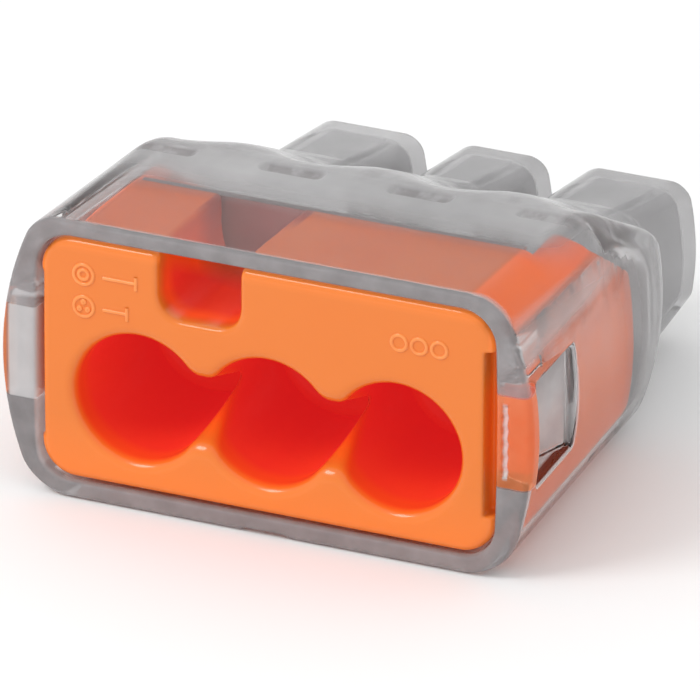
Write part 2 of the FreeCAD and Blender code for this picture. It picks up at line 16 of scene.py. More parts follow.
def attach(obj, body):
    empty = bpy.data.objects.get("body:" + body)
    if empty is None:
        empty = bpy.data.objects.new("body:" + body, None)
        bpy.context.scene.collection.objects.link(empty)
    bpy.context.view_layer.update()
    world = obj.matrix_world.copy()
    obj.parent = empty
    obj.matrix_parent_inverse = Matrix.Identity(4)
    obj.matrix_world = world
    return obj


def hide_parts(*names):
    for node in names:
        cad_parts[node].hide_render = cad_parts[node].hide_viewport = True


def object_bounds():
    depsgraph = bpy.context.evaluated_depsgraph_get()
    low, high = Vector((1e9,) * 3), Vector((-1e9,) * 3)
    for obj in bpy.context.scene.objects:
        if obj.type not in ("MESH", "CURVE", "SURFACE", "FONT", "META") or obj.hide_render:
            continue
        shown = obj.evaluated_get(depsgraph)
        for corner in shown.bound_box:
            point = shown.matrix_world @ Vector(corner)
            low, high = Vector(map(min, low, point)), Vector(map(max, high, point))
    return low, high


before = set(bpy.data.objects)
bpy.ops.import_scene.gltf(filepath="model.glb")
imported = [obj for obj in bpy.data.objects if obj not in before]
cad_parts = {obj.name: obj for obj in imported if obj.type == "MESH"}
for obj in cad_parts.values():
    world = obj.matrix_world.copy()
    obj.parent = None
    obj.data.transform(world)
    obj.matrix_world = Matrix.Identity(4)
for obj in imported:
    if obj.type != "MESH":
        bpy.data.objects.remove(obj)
cad_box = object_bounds()

MM = 0.001
FRONT = cad_box[0][1] / MM          # y of the front face
SIDE_HEIGHT = 4.6                   # height at which the sides bulge most

PITCH = 4.3                         # between neighbouring wire ports
PORT_HEIGHT = 3.7
PORT_RADIUS, GUIDE_RADIUS = 2.1, 1.35
GUIDE_TAPER = (5.9, 6.35)           # depths between which a port narrows to its wire guide
CUT_BACK_DEPTH = 2.95               # of the V between two ports, and its half height at the face and the tip
CUT_BACK_HALF, CUT_BACK_TIP = 1.25, 0.1

FACE_DEPTH = 0.1                    # of the insert's face behind the rim
NOTCH = (-3.59, -0.85)              # x span of the test notch
NOTCH_FLOOR = 6.6
RELIEF_DEPTH = 0.8                  # of the steps at both ends of the face plate
PLATE_BACK = 0.85                   # depth at which the face plate ends and the chamfered body starts
BLOCK_BACK = 4.9                    # depth at which the insert's full height ends
INSERT_BACK = 10.7

LATCH_DEPTH = (0.95, 3.75)          # spans of the latch windows
LATCH_HEIGHT = (3.15, 6.25)
SEAM_X = 7.95                       # of the moulding seam beside the right window
SEAM_HEIGHT = (3.5, 5.9)
PIT_DEPTH = (6.7, 7.4)              # span of the moulding pits over the walls between ports
SHELL_BENDS = (0.0, 8.25, 11.9, 13.9)   # depths at which the housing's outline changes
ENDS_FROM, ENDS_TO = 9.6, 18.8      # depths between which the wire ends run
END_SPREAD = 0.28                   # how much further apart than the ports, and wider outside, they are
END_PITCH = PITCH + END_SPREAD


# ---------------------------------------------------------------- distance fields

def union(first, second, blend):
    """The smaller of two distances, with the inside corner between them filled over the blend width."""
    share = np.maximum(1 - np.abs(first - second) / blend, 0)
    return np.minimum(first, second) - share * share * blend / 4


def common(first, second, blend):
    """The larger of two distances, with the outside corner between them rounded."""
    return -union(-first, -second, blend)


def without(solid, hole, blend):
    return common(solid, -hole, blend)


def along(depth, stops, values, soften=0.0):
    """A size that changes linearly between depths, with its bends softened."""
    steps = (-1.0, -0.5, 0.0, 0.5, 1.0) if soften else (0.0,)
    return sum(np.interp(depth + step * soften, stops, values) for step in steps) / len(steps)


def outline(x, z, middle, half, bottom, top, corner, curve=90.0, level=SIDE_HEIGHT, crown=None):
    """Distance to a rounded rectangle whose two sides bulge, widest at the given level.

    The upper two corners have the radius crown where it is given.
    """
    if crown is not None:
        corner = np.where(z > level, crown, corner)
    bulge = curve - np.sqrt(curve ** 2 - (z - level) ** 2)
    across = np.abs(x - middle) - (half - bulge - corner)
    upright = np.abs(z - (bottom + top) / 2) - ((top - bottom) / 2 - corner)
    outside = np.hypot(np.maximum(across, 0), np.maximum(upright, 0))
    return outside + np.minimum(np.maximum(across, upright), 0) - corner


def slab(value, low, high):
    return np.maximum(low - value, value - high)


def block(x, depth, z, spans, blend=0.12):
    """Distance to a box from its spans in x, depth and z."""
    shape = common(slab(x, *spans[0]), slab(depth, *spans[1]), blend)
    return common(shape, slab(z, *spans[2]), blend)


def rod(x, z, middle, radius):
    return np.hypot(x - middle, z - PORT_HEIGHT) - radius


# ---------------------------------------------------------------- meshing a field

CORNERS = np.array([(i, j, k) for i in (0, 1) for j in (0, 1) for k in (0, 1)])
EDGES = [(a, b) for a in range(8) for b in range(a + 1, 8) if np.abs(CORNERS[a] - CORNERS[b]).sum() == 1]
NUDGE = 0.004                       # mm, for slopes of a field


def surface_net(values):
    """Vertices and quads of the zero surface: one vertex per crossed cell, one quad per crossed edge."""
    inside = values < 0
    cells_shape = tuple(n - 1 for n in values.shape)
    count = np.zeros(cells_shape, np.int8)
    for i, j, k in CORNERS:
        count += inside[i:i + cells_shape[0], j:j + cells_shape[1], k:k + cells_shape[2]]
    cells = np.argwhere((count > 0) & (count < 8))
    number = np.full(cells_shape, -1, np.int64)
    number[tuple(cells.T)] = np.arange(len(cells))
    corner_values = np.stack([values[tuple((cells + corner).T)] for corner in CORNERS], 1)
    total, hits = np.zeros((len(cells), 3)), np.zeros(len(cells))
    for first, second in EDGES:
        a, b = corner_values[:, first], corner_values[:, second]
        crossed = (a < 0) != (b < 0)
        share = np.where(crossed, a / np.where(crossed, a - b, 1), 0)
        at = CORNERS[first] + share[:, None] * (CORNERS[second] - CORNERS[first])
        total += at * crossed[:, None]
        hits += crossed
    quads = []
    for axis in range(3):
        step, u, v = (np.eye(3, dtype=int)[(axis + turn) % 3] for turn in (0, 1, 2))
        near = inside[tuple(slice(0, n - s) for n, s in zip(inside.shape, step))]
        far = inside[tuple(slice(s, None) for s in step)]
        for start, end, order in ((near, far, 1), (far, near, -1)):
            at = np.argwhere(start & ~end)
            ring = [number[tuple((at - shift).T)] for shift in (0 * u, u, u + v, v)]
            quads.append(np.stack(ring[::order], 1))
    return cells + total / hits[:, None], np.concatenate(quads)


def slopes(shape, points):
    gradient = np.empty_like(points)
    for axis in range(3):
        step = np.zeros(3)
        step[axis] = NUDGE
        gradient[:, axis] = (shape(*(points + step).T) - shape(*(points - step).T)) / (2 * NUDGE)
    return gradient


def settle(shape, points, reach, rounds=3):
    """Moves points along the field's slope onto its zero surface, by at most reach each round."""
    for _ in range(rounds):
        gradient = slopes(shape, points)
        move = gradient * (shape(*points.T) / np.maximum((gradient ** 2).sum(1), 0.1))[:, None]
        length = np.maximum(np.linalg.norm(move, axis=1), 1e-9)
        points = points - move * np.minimum(1, reach / length)[:, None]
    return points


def to_frame(points):
    return (points + (0, FRONT, 0)) * MM


def from_frame(mesh):
    points = np.empty(len(mesh.vertices) * 3, np.float32)
    mesh.vertices.foreach_get("co", points)
    return points.reshape(-1, 3).astype(float) / MM - (0, FRONT, 0)


def moulded(name, shape, low, high, cell, keep):
    """A mesh of the field's zero surface, thinned to a share of its faces and shaded by its slopes."""
    axes = [np.arange(a, b + cell, cell) for a, b in zip(low, high)]
    values = shape(axes[0][:, None, None], axes[1][None, :, None], axes[2][None, None, :])
    points, quads = surface_net(np.asarray(values, np.float32))
    points = settle(shape, np.array(low) + points * cell, cell / 2)
    draft = bpy.data.meshes.new(name + "_draft")
    draft.from_pydata(to_frame(points).tolist(), [], quads.tolist())
    piece = bpy.data.objects.new(name, draft)
    bpy.context.scene.collection.objects.link(piece)
    thin = piece.modifiers.new("thin", "DECIMATE")
    thin.ratio = keep
    mesh = bpy.data.meshes.new_from_object(piece.evaluated_get(bpy.context.evaluated_depsgraph_get()))
    piece.modifiers.clear()
    mesh.name = name
    piece.data = mesh
    bpy.data.meshes.remove(draft)
    points = settle(shape, from_frame(mesh), cell / 2)
    mesh.vertices.foreach_set("co", to_frame(points).astype(np.float32).ravel())
    mesh.update()
    mesh.shade_smooth()
    normals = slopes(shape, points)
    normals /= np.maximum(np.linalg.norm(normals, axis=1), 1e-9)[:, None]
    mesh.normals_split_custom_set_from_vertices(normals.tolist())
    return piece


# ---------------------------------------------------------------- the coloured insert

def insert_ports(x, depth, z):
    """The three round ports with the V-shaped cut-backs between them, and the wire guides behind."""
    radius = along(depth, GUIDE_TAPER, (PORT_RADIUS, GUIDE_RADIUS), 0.1)
    ports = rod(x, z, 0, radius)
    for middle in (-PITCH, PITCH):
        ports = np.minimum(ports, rod(x, z, middle, radius))
    slope = (CUT_BACK_HALF - CUT_BACK_TIP) / CUT_BACK_DEPTH
    reach = CUT_BACK_HALF - slope * np.maximum(depth, 0)
    cut_back = common(np.abs(z - PORT_HEIGHT) - reach, depth - CUT_BACK_DEPTH, 0.2)
    cut_back = np.maximum(cut_back, np.abs(x) - PITCH)
    return union(ports, cut_back, 0.25)


def insert_body(x, depth, z):
    """Outside of the insert: a face plate, and behind it a body with its upper long edges chamfered."""
    length = (FACE_DEPTH, INSERT_BACK)
    half = along(depth, length, (7.6, 7.15))
    top = along(depth, length, (8.77, 8.24))
    body = outline(x, z, 0, half, 0.67, top, 1.1)
    body = common(body, slab(depth, *length), 0.34)
    beyond_chamfer = (6.35 + 8.77 - np.abs(x) - z) * math.sqrt(0.5)
    return without(body, common(beyond_chamfer, PLATE_BACK - depth, 0.1), 0.16)


def insert_seats(x, depth, z):
    """What is cut away behind the block: the seat of the spring and bus bar, and the lowered cheeks."""
    start = (BLOCK_BACK - 0.05, BLOCK_BACK + 0.05)
    seat_roof = along(depth, start + (7.6, 7.8), (9.5, 6.3, 6.3, 2.0))
    cheek_roof = along(depth, start + (6.9, INSERT_BACK), (9.5, 8.2, 8.2, 5.7))
    seat = common(seat_roof - z, np.abs(x) - 6.5, 0.16)
    return [common(opening, BLOCK_BACK - depth, 0.16) for opening in (seat, cheek_roof - z)]


def latch_barbs(x, depth, z):
    """The barb on each side, with a ramp behind its edge."""
    reach = along(depth, (1.05, 1.45, 2.3), (8.35, 8.35, 7.5))
    barb = np.maximum(slab(depth, 1.05, 2.3), slab(z, 3.3, 6.1))
    barb = common(barb, np.abs(x) - reach, 0.12)
    return np.maximum(barb, 7.2 - np.abs(x))


def insert_shape(x, depth, z):
    """The whole insert, less its ports, test notch and reliefs, with its latch barbs."""
    body = insert_body(x, depth, z)
    for seat in insert_seats(x, depth, z):
        body = without(body, seat, 0.16)
    body = without(body, insert_ports(x, depth, z), 0.4)
    body = without(body, block(x, depth, z, (NOTCH, (-2, 6), (NOTCH_FLOOR, 12)), 0.9), 0.2)
    for side, start in ((-1, 7.45), (1, 7.2)):
        relief = block(side * x, depth, z, ((start, 9), (-1, RELIEF_DEPTH), (2.0, 7.46)), 0.1)
        body = without(body, relief, 0.12)
    return union(body, latch_barbs(x, depth, z), 0.1)


# ---------------------------------------------------------------- raised marks on the face

STROKE = 0.065                      # half width of a raised stroke
STROKE_DEPTH = FACE_DEPTH + 0.01    # of the middle of the strokes


def ring(centre, radius, turns=24):
    steps = [2 * math.pi * step / turns for step in range(turns)]
    return [(centre[0] + radius * math.cos(a), centre[1] + radius * math.sin(a)) for a in steps], True


def face_marks():
    """Raised pictograms: a solid wire end, a stranded wire end, two strip-length bars and three rings."""
    strokes = [ring((-6.05, 7.62), 0.33), ring((-6.05, 7.62), 0.16),
               ring((-6.05, 6.55), 0.33)]
    strokes += [ring((-6.05 + 0.16 * math.cos(a), 6.55 + 0.16 * math.sin(a)), 0.05, 8)
                for a in (math.pi / 2, math.pi * 7 / 6, math.pi * 11 / 6)]
    for height, length in ((7.62, 1.1), (6.55, 0.8)):
        strokes.append(([(-5.4, height), (-5.4 + length, height)], False))
        strokes.append(([(-5.4 + length, height - 0.22), (-5.4 + length, height + 0.22)], False))
    strokes += [ring((4.42 + 0.66 * place, 7.3), 0.25) for place in range(3)]
    data = bpy.data.curves.new("face_marks", "CURVE")
    data.dimensions = "3D"
    data.bevel_depth, data.bevel_resolution = STROKE * MM, 3
    for points, closed in strokes:
        spline = data.splines.new("POLY")
        spline.points.add(len(points) - 1)
        for point, (x, z) in zip(spline.points, points):
            point.co = (x * MM, (FRONT + STROKE_DEPTH) * MM, z * MM, 1)
        spline.use_cyclic_u = closed
    marks = bpy.data.objects.new("face_marks", data)
    bpy.context.scene.collection.objects.link(marks)
    return marks


# ---------------------------------------------------------------- the clear housing

def wire_end(x, depth, z, place, inset=0.0):
    """One closed wire end, a tapering box with soft corners and slightly bulging sides."""
    bottom = along(depth, (SHELL_BENDS[2], ENDS_TO), (0.05, 1.2)) + inset
    top = along(depth, (ENDS_FROM, ENDS_TO), (7.0, 5.36)) - inset
    half = 1.8 + END_SPREAD * abs(place) - inset
    shape = outline(x, z, place * END_PITCH, half, bottom, top, 0.6 - inset / 2, curve=9.0, level=3.0)
    return common(shape, slab(depth, ENDS_FROM, ENDS_TO - inset), 0.3)


def shell_outside(x, depth, z):
    """The housing's body, its top rippled above the wire ends, which run into it softly."""
    half = along(depth, SHELL_BENDS, (8.85, 8.5, 8.35, 6.75), 0.5)
    bottom = along(depth, SHELL_BENDS, (0, 0, 0, 0.7), 0.5)
    top = along(depth, SHELL_BENDS, (9.35, 8.94, 7.0, 5.7), 0.9)
    ripple = along(depth, (7.5, 9.5, 13.0), (0.0, 0.16, 0.3), 0.5)
    top = top + ripple * np.cos(2 * math.pi * x / END_PITCH)
    body = outline(x, z, 0, half, bottom, top, 1.15, curve=10.2, crown=0.72)
    body = common(body, slab(depth, 0, SHELL_BENDS[3]), 0.3)
    blend = along(np.abs(x), (5.8, 6.8), (0.5, 1.6))
    for place in (-1, 0, 1):
        body = union(body, wire_end(x, depth, z, place), blend)
    return np.maximum(body, -z)


def shell_inside(x, depth, z):
    """The room for the insert, open at the front, and the hollows of the wire ends behind it."""
    half = along(depth, SHELL_BENDS, (7.66, 7.31, 7.16, 6.1), 0.3)
    floor = along(depth, SHELL_BENDS, (0.6, 0.6, 0.6, 1.3), 0.3)
    top = along(depth, SHELL_BENDS, (8.84, 8.4, 6.3, 5.2), 0.3)
    room = outline(x, z, 0, half, floor, top, 1.1)
    room = common(room, slab(depth, -1, 13.3), 0.3)
    for place in (-1, 0, 1):
        room = union(room, np.maximum(wire_end(x, depth, z, place, 0.5), 12.6 - depth), 0.2)
    return room


def latch_windows(x, depth, z):
    """The window in each side: cut through at the front, with a ramp behind."""
    flare = along(np.abs(x), (7.6, 8.9), (0.0, 0.22))
    floor = along(depth, (2.4, 2.55, LATCH_DEPTH[1]), (7.0, 7.85, 8.25))
    window = block(np.abs(x), depth, z, ((7.0, 10), LATCH_DEPTH, LATCH_HEIGHT), 0.2) - flare
    return common(window, floor - np.abs(x), 0.12)


def shell_shape(x, depth, z):
    """The housing less its room, latch windows, moulding pits, gate mark and seam."""
    body = without(shell_outside(x, depth, z), shell_inside(x, depth, z), 0.14)
    body = without(body, latch_windows(x, depth, z), 0.16)
    off_wall = np.abs(np.abs(x) - PITCH) - PITCH / 2
    pit = block(off_wall, depth, z, ((-1.0, 1.0), PIT_DEPTH, (8.86, 12)), 0.2)
    body = without(body, pit, 0.1)
    gate = block(x, depth, z, ((-0.72, 0.72), (-1, 0.45), (-1, 0.13)), 0.1)
    body = without(body, gate, 0.08)
    uneven = 0.1 + 0.03 * np.sin(14 * z)
    seam = np.hypot(x - SEAM_X, depth) - uneven
    return without(body, np.maximum(seam, slab(z, *SEAM_HEIGHT)), 0.05)


# ---------------------------------------------------------------- material helpers

class Shader:
    """A new node material with a Principled shader and short calls for adding and linking nodes."""

    def __init__(self, name, **settings):
        self.material = bpy.data.materials.new(name)
        self.material.use_nodes = True
        self.tree = self.material.node_tree
        self.bsdf = next(n for n in self.tree.nodes if n.type == "BSDF_PRINCIPLED")
        for socket, value in settings.items():
            self.bsdf.inputs[socket.replace("_", " ")].default_value = value

    def node(self, kind, inputs=None, **attributes):
        node = self.tree.nodes.new(kind)
        for key, value in attributes.items():
            setattr(node, key, value)
        for key, value in (inputs or {}).items():
            if isinstance(value, bpy.types.NodeSocket):
                self.tree.links.new(value, node.inputs[key])
            else:
                node.inputs[key].default_value = value
        return node

    def math(self, operation, first, second=0.0):
        return self.node("ShaderNodeMath", {0: first, 1: second}, operation=operation).outputs[0]

    def feed(self, socket, value):
        self.tree.links.new(value, self.bsdf.inputs[socket])

    def product(self, first, *others):
        for other in others:
            first = self.math("MULTIPLY", first, other)
        return first

    def largest(self, first, *others):
        for other in others:
            first = self.math("MAXIMUM", first, other)
        return first

    def total(self, first, *others):
        for other in others:
            first = self.math("ADD", first, other)
        return first

    def part(self, value, share):
        return self.math("MULTIPLY", value, share)

    def parts(self, area, shares):
        """An area's masks, each times the share given for its name."""
        return [self.part(getattr(area, name), share) for name, share in shares.items()]

    def outside(self, mask):
        """1 where the mask is 0."""
        return self.math("SUBTRACT", 1.0, mask)

    def away(self, value, middle):
        """How far a value is from the middle, either way."""
        return self.math("ABSOLUTE", self.math("SUBTRACT", value, middle))

    def place(self):
        """Coordinates in the object's own frame, in metres."""
        return self.node("ShaderNodeTexCoord").outputs["Object"]

    def spot(self):
        """A surface point's x, z and depth in millimetres, and side, its x without the sign."""
        position = self.node("ShaderNodeSeparateXYZ", {"Vector": self.place()})
        x, y, z = (self.math("DIVIDE", position.outputs[axis], MM) for axis in "XYZ")
        return SimpleNamespace(x=x, z=z, depth=self.math("SUBTRACT", y, FRONT), side=self.math("ABSOLUTE", x))

    def noise(self, scale, detail=3.0, stretch=(1, 1, 1)):
        spots = self.node("ShaderNodeMapping", {"Vector": self.place(), "Scale": stretch}).outputs[0]
        grain = self.node("ShaderNodeTexNoise", {"Vector": spots, "Scale": scale, "Detail": detail})
        return grain.outputs["Fac"]

    def bump(self, height, strength, distance):
        node = self.node("ShaderNodeBump", {"Height": height, "Strength": strength, "Distance": distance})
        self.feed("Normal", node.outputs[0])

    def range(self, value, low, high, start=0.0, end=1.0):
        """The value's place between low and high, as a share from start to end."""
        node = self.node("ShaderNodeMapRange", {"Value": value, "From Min": low, "From Max": high,
                                                "To Min": start, "To Max": end})
        return node.outputs["Result"]

    def band(self, value, low, high, soft=0.1):
        """1 between low and high, falling to 0 just outside."""
        return self.product(self.range(value, low - soft, low), self.range(value, high + soft, high))

    def mix(self, share, first, second, blend="MIX"):
        """Two colours, each a socket or fixed, blended by the share."""
        inputs = {0: share}
        for key, colour in ((6, first), (7, second)):
            inputs[key] = colour if isinstance(colour, bpy.types.NodeSocket) else (*colour, 1)
        return self.node("ShaderNodeMix", inputs, data_type="RGBA", blend_type=blend).outputs[2]

    def ramp(self, factor, *stops):
        node = self.node("ShaderNodeValToRGB", {"Fac": factor})
        elements = node.color_ramp.elements
        while len(elements) < len(stops):
            elements.new(0.5)
        for element, (position, colour) in zip(elements, stops):
            element.position = position
            element.color = (*colour, 1)
        return node.outputs["Color"]


def rgb(red, green, blue):
    """A linear colour from display values of 0 to 255."""
    def linear(value):
        value /= 255
        return value / 12.92 if value <= 0.04045 else ((value + 0.055) / 1.055) ** 2.4
    return linear(red), linear(green), linear(blue)


# ---------------------------------------------------------------- the clear plastic

BESIDE_WINDOW = (3.2, 6.2)          # heights between which the latch windows and barbs lie
CLOUDS, MOTTLES, SPECKS = 420.0, 1300.0, 1400.0     # noise scales, per metre
FLOW = (1, 0.6, 1)                  # stretches that noise along the housing

# How strongly each area of the housing takes a look, by the names of the masks below.
# Some looks are painted light: the upper edges' smoky veil is a painted reflection band, the right bar's warm
# veil a painted orange glow, the seam's veil a painted glint and the pit specks painted shade.
SMOKY = {"rear": 1.0, "left_bar": 1.0, "edges": 1.0}
GREY = {"rim": 1.0, "ramp": 0.8, "left_bar": 0.35, "smudge": 0.8}
VEIL = {"rim": 0.6, "ramp": 0.7, "edges": 0.45, "left_bar": 0.85, "warm_bar": 0.5, "seam": 0.55}

# Roughness, and the share of light let through, at the front and at the rear, and what areas add to them.
ROUGHNESS = (0.04, 0.2)
ROUGHER = {"ends": -0.07, "ramp": 0.2, "rim": 0.1}
LIGHT = (1.0, 0.62)
LIGHTER = {"ends": 0.12, "behind_insert": -0.14}


def window_areas(shader, at, area):
    """Adds the masks of the ramps behind the latch windows and of the bars in front of them; the right bar's
    mask carries a painted orange glow.
    """
    bar = shader.product(area.at_window, shader.range(at.depth, 1.0, 0.9))
    area.left_bar = shader.product(bar, shader.range(at.side, 8.65, 8.5), shader.range(at.x, 1, -1))
    # The right bar gets a painted orange glow of the insert seen through it; the left bar gets only smoky
    # grey.
    area.warm_bar = shader.math("SUBTRACT", bar, area.left_bar)
    area.ramp = shader.product(shader.band(at.depth, 2.4, 3.8), area.at_window,
                               shader.range(at.side, 7.7, 7.8))


def rim_areas(shader, at, area):
    """Adds the masks of the rim, on its face and just inside it, and of the painted glint on the seam beside
    the right window.
    """
    on_face = shader.range(at.depth, 0.35, 0.1)
    in_mouth = shader.product(shader.band(at.side, 7.2, 7.8), shader.range(at.depth, 1.0, 0.8),
                              shader.range(at.z, 8.8, 8.6))
    area.rim = shader.product(shader.largest(on_face, in_mouth), shader.outside(area.at_window))
    # Painted glint: the seam is veiled near-white.
    area.seam = shader.product(shader.band(at.x, SEAM_X - 0.05, SEAM_X + 0.05, 0.05),
                               shader.band(at.z, *SEAM_HEIGHT), on_face)


def rear_areas(shader, at, area):
    """Adds the masks of the haze behind the insert's block, of all the rear, and of the wire ends."""
    on_top = shader.product(shader.range(at.z, 6.6, 7.4), shader.range(at.x, 7.3, 6.7))
    area.behind_insert = shader.product(shader.range(at.depth, 4.1, 6.2), on_top)
    area.rear = shader.largest(shader.range(at.depth, 9.6, 11.6), area.behind_insert)
    area.ends = shader.range(at.depth, 12.5, 14.0)


def edge_areas(shader, at, area):
    """Adds the mask of a painted reflection band, a smoky grey veil along the two long upper edges, stronger
    and starting further in on the left.
    """
    lean = shader.largest(at.x, shader.math("SUBTRACT", 0.9, at.x))
    area.edges = shader.product(shader.range(lean, 7.95, 8.3), shader.band(at.z, 7.3, 9.4, 0.4),
                                shader.outside(area.rear), shader.range(at.x, -1, 1, 1.3, 1.0))


def moulding_areas(shader, at, area):
    """Adds the masks of the crinkled crest above the wire ends, of dark grey specks on it, and of painted
    shade in the pits.
    """
    area.crest = shader.product(shader.band(at.depth, 7.8, 11.6, 0.8), shader.range(at.side, 7.4, 7.0),
                                shader.range(at.z, 5.5, 6.5))
    off_wall = shader.away(shader.away(at.side, PITCH), PITCH / 2)
    # Painted shade over the pits, for the dark gaps between the spring fingers seen through the top.
    in_pit = shader.product(shader.range(off_wall, 1.0, 0.85), shader.band(at.depth, 6.8, 7.3, 0.12),
                            shader.range(at.z, 8.6, 8.8))
    specks = shader.range(shader.noise(SPECKS, 4.0, FLOW), 0.42, 0.58)
    area.smudge = shader.product(specks, shader.largest(in_pit, shader.part(area.crest, 0.4)))


def shell_colour(shader, area):
    """Nearly clear, smoky at the rear, grey where the veil is thickest with painted shade in the pits; a
    painted reflection band on the upper edges, a painted orange glow at the right bar and a painted glint on
    the seam.
    """
    cloud = shader.noise(CLOUDS, 5.0, FLOW)
    tint = shader.ramp(cloud, (0.3, (0.84, 0.83, 0.83)), (0.7, (0.89, 0.88, 0.885)))
    smoky = shader.ramp(cloud, (0.3, (0.53, 0.525, 0.53)), (0.7, (0.67, 0.665, 0.67)))
    # Painted orange glow for the right window's bar.
    warm = shader.ramp(cloud, (0.3, rgb(236, 130, 76)), (0.7, rgb(246, 162, 116)))
    mottle = shader.noise(MOTTLES, 4.0)
    grey = shader.ramp(mottle, (0.3, (0.345, 0.325, 0.33)), (0.7, (0.435, 0.415, 0.42)))
    dim = shader.math("MINIMUM", shader.largest(*shader.parts(area, SMOKY)), 1.0)
    colour = shader.mix(dim, tint, smoky)
    colour = shader.mix(area.warm_bar, colour, warm)
    colour = shader.mix(shader.largest(*shader.parts(area, GREY)), colour, grey)
    # Painted glint along the seam.
    return shader.mix(area.seam, colour, (0.85, 0.83, 0.82))


def clear_plastic():
    """Clear polycarbonate with a grey veil: hazy on the rim's face, behind the insert and on the ramps."""
    shader = Shader("clear_polycarbonate", IOR=1.2, Specular_IOR_Level=0.22)
    at = shader.spot()
    area = SimpleNamespace(at_window=shader.band(at.z, *BESIDE_WINDOW))
    for add in (window_areas, rim_areas, rear_areas, edge_areas, moulding_areas):
        add(shader, at, area)
    shader.feed("Base Color", shell_colour(shader, area))
    roughness = shader.range(area.rear, 0.0, 1.0, *ROUGHNESS)
    shader.feed("Roughness", shader.total(roughness, *shader.parts(area, ROUGHER)))
    light = shader.total(shader.range(area.rear, 0.0, 1.0, *LIGHT), *shader.parts(area, LIGHTER))
    veil = shader.largest(*shader.parts(area, VEIL))
    shader.feed("Transmission Weight", shader.math("SUBTRACT", light, veil))
    crinkle = shader.product(shader.noise(1100.0, 2.0), shader.part(area.crest, 1.6))
    shader.bump(shader.total(shader.noise(350.0, 2.0), crinkle), 0.2, 0.0001)
    return shader.material


# ---------------------------------------------------------------- the orange plastic

BLACK = (0.0, 0.0, 0.0)


def port_reach(shader, at):
    """Distance from the axis of the nearest port."""
    off_centre = shader.math("MINIMUM", at.side, shader.away(at.side, PITCH))
    squares = (shader.math("POWER", part, 2.0) for part in (off_centre, shader.away(at.z, PORT_HEIGHT)))
    return shader.math("SQRT", shader.math("ADD", *squares))


def deep_hollows(shader, at, reach):
    """Mask of painted red light in the ports and painted shade in the test notch, less the thin edges between
    ports.
    """
    cut_back = shader.range(at.depth, 0.0, CUT_BACK_DEPTH, CUT_BACK_HALF, CUT_BACK_TIP)
    past_edge = shader.math("SUBTRACT", shader.away(at.z, PORT_HEIGHT), cut_back)
    thin_edge = shader.product(shader.range(past_edge, 0.5, 0.05),
                               shader.range(shader.away(at.side, PITCH / 2), 0.7, 0.2),
                               shader.range(at.depth, 3.2, 1.2))
    in_port = shader.product(shader.range(reach, 2.6, 2.35), shader.range(at.depth, 0.15, 1.3),
                             shader.outside(shader.part(thin_edge, 0.8)))
    # Painted shade: the notch grows redder towards its lower back.
    notch_shade_height = shader.total(at.z, shader.part(at.depth, 0.5))
    in_notch = shader.product(shader.band(at.x, -3.7, -0.75), shader.band(at.z, 6.5, 8.6),
                              shader.range(at.depth, 0.3, 1.4), shader.range(notch_shade_height, 9.1, 8.3, 0.1, 1.0))
    return shader.largest(in_port, in_notch)


def insert_colour(shader, at, red):
    """Orange with flow streaks, painted red light and shade in the hollows, and painted brown shade on the
    test notch's floor.
    """
    # Painted red light, deepening into the hollows.
    colour = shader.ramp(red, (0.0, rgb(230, 124, 44)), (0.35, rgb(236, 78, 32)), (1.0, rgb(208, 28, 31)))
    flow = shader.product(shader.range(shader.noise(330.0, 4.0, (1, 0.3, 1)), 0.35, 0.7, 0.3, 0.6),
                          shader.range(at.depth, 0.4, 0.9, 0.1, 1.0))
    # Painted shade on the notch's floor, deep in its channel.
    notch_floor_shade = shader.product(shader.band(at.x, -3.7, -0.5), shader.range(at.z, 5.9, 6.2),
                                 shader.range(at.depth, 3.0, 4.2))
    colour = shader.mix(flow, colour, rgb(222, 84, 14))
    return shader.mix(notch_floor_shade, colour, rgb(165, 66, 52))


def insert_glow(shader, at, red, reach):
    """Painted glow for light that has travelled inside the plastic: in the hollows, beneath the housing, near
    the floor and at the border.
    """
    not_red = shader.outside(red)
    beneath_shell = shader.largest(shader.range(at.depth, 0.5, 0.9), shader.range(at.side, 7.3, 7.5))
    beneath_shell = shader.product(beneath_shell, not_red, shader.range(reach, 2.1, 2.5))
    at_latch = shader.product(shader.range(at.side, 7.25, 7.45), shader.band(at.z, *BESIDE_WINDOW),
                              shader.range(at.depth, 2.6, 2.3))
    on_chamfer = shader.product(shader.range(at.side, 6.3, 6.5), shader.range(at.z, 7.3, 7.7))
    # Painted light: the body glows brighter towards its top.
    bright = shader.largest(at_latch, on_chamfer, shader.range(at.z, 8.3, 7.3, 0.25, 0.6))
    # Painted light on the lower face, evening out its shade near the floor.
    near_floor = shader.product(shader.range(at.z, 2.8, 1.0, 0.0, 0.4), not_red)
    lit = shader.largest(shader.product(beneath_shell, bright), near_floor)
    in_border = shader.largest(shader.range(at.z, 8.3, 8.5), shader.range(at.side, 7.2, 7.4))
    in_border = shader.product(in_border, shader.band(at.depth, 0.16, 0.3))
    hollows = shader.ramp(red, (0.0, BLACK), (0.3, rgb(80, 20, 6)), (1.0, rgb(130, 20, 24)))
    body = shader.ramp(lit, (0.0, BLACK), (0.6, rgb(122, 42, 6)), (1.0, rgb(172, 60, 5)))
    body = shader.mix(shader.part(in_border, 0.5), body, rgb(150, 80, 36))
    return shader.mix(1.0, hollows, body, "ADD")


